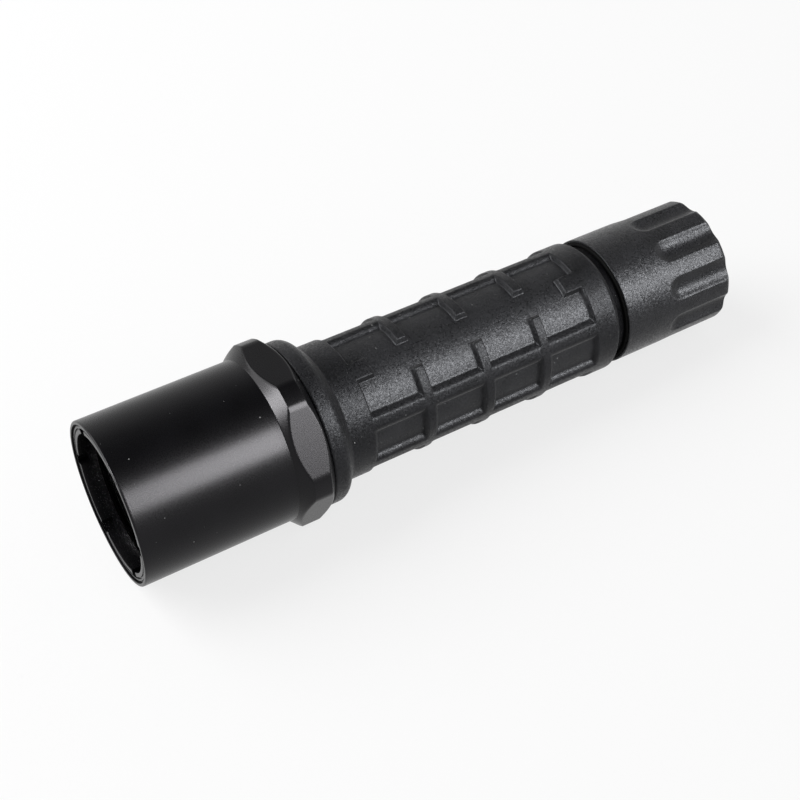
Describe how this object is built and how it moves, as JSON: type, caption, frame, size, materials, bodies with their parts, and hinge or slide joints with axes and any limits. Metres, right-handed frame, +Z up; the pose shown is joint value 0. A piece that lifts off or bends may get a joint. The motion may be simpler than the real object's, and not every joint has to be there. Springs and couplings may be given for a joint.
{
  "type": "tactical flashlight",
  "caption": "Black handheld light: smooth metal bezel with a six-flat collar, pocketed nylon grip body and fluted twist cap with a press button",
  "frame": {"origin": "centre of the bezel's front rim, on the optical axis", "axes": "-Y along the beam, +Y towards the tail, +Z up with one flat of the collar facing down"},
  "size_m": [0.036, 0.1314, 0.0332],
  "materials": {
    "black_anodised": "satin black anodised, fine bead-blasted grain",
    "black_nylon": "moulded glass-filled nylon, mottled fine texture",
    "window_glass": "clear, coated",
    "seal_rubber": "smooth black",
    "boot_rubber": "matt black",
    "reflector_coating": "vapour-coated, lightly stippled mirror",
    "bare_aluminium": "drawn tube",
    "brass": "turned",
    "spring_steel": "drawn wire",
    "board_white": "white solder mask",
    "circuit_board": "green solder mask",
    "led_package": "phosphor under clear silicone",
    "insulator": "white plastic",
    "insulator_black": "black acetal",
    "cell_steel": "nickel-plated",
    "cell_roll": "wound electrodes",
    "cell_wrap": "plain shrink wrap"
  },
  "bodies": {
    "body": {"grip_body": "black_nylon", "contact_sleeve": "bare_aluminium", "head_o_ring": "seal_rubber", "tail_spring": "spring_steel", "front_cell_can": "cell_steel", "front_cell_core": "cell_roll", "front_cell_terminal": "cell_steel", "front_cell_seal": "insulator", "front_cell_wrap": "cell_wrap", "rear_cell_can": "cell_steel", "rear_cell_core": "cell_roll", "rear_cell_terminal": "cell_steel", "rear_cell_seal": "insulator", "rear_cell_wrap": "cell_wrap"},
    "lamp_module": {"reflector": "reflector_coating", "led_insulator": "insulator", "led_emitter": "led_package", "led_board": "board_white", "lamp_pill": "brass", "driver_board": "circuit_board", "lamp_outer_spring": "spring_steel", "lamp_centre_spring": "spring_steel"},
    "head": {"bezel": "black_anodised", "retaining_ring": "black_anodised", "lens": "window_glass", "lens_o_ring": "seal_rubber"},
    "tail_seal": {"tail_o_ring": "seal_rubber"},
    "tail_cap": {"tailcap": "black_nylon", "boot_retainer": "insulator_black", "switch_boot": "boot_rubber"},
    "switch": {"switch_plunger": "insulator_black", "contact_disc": "brass"}
  },
  "joints": [
    {"name": "bezel_travel", "type": "slide", "parent": "body", "child": "lamp_module", "axis": [0, -1, 0], "range_m": [0, 0.009]},
    {"name": "bezel_turn", "type": "hinge", "parent": "lamp_module", "child": "head", "pos_m": [0, 0, 0], "axis": [0, -1, 0], "range_deg": [0, 2160]},
    {"name": "cap_travel", "type": "slide", "parent": "body", "child": "tail_seal", "axis": [0, -1, 0], "range_m": [-0.0075, 0.00125], "deforming": ["tail_spring"]},
    {"name": "cap_turn", "type": "hinge", "parent": "tail_seal", "child": "tail_cap", "pos_m": [0, 0.12, 0], "axis": [0, -1, 0], "range_deg": [-1800, 300]},
    {"name": "button_press", "type": "slide", "parent": "tail_cap", "child": "switch", "axis": [0, -1, 0], "range_m": [0, 0.0018], "stiffness_N_per_m": 1500, "springref_m": -0.001, "deforming": ["switch_boot", "tail_spring"]}
  ],
  "couplings": [
    {"joint": "bezel_travel", "follows": "bezel_turn", "m_per_rad": 0.00023873},
    {"joint": "cap_travel", "follows": "cap_turn", "m_per_rad": 0.00023873}
  ]
}
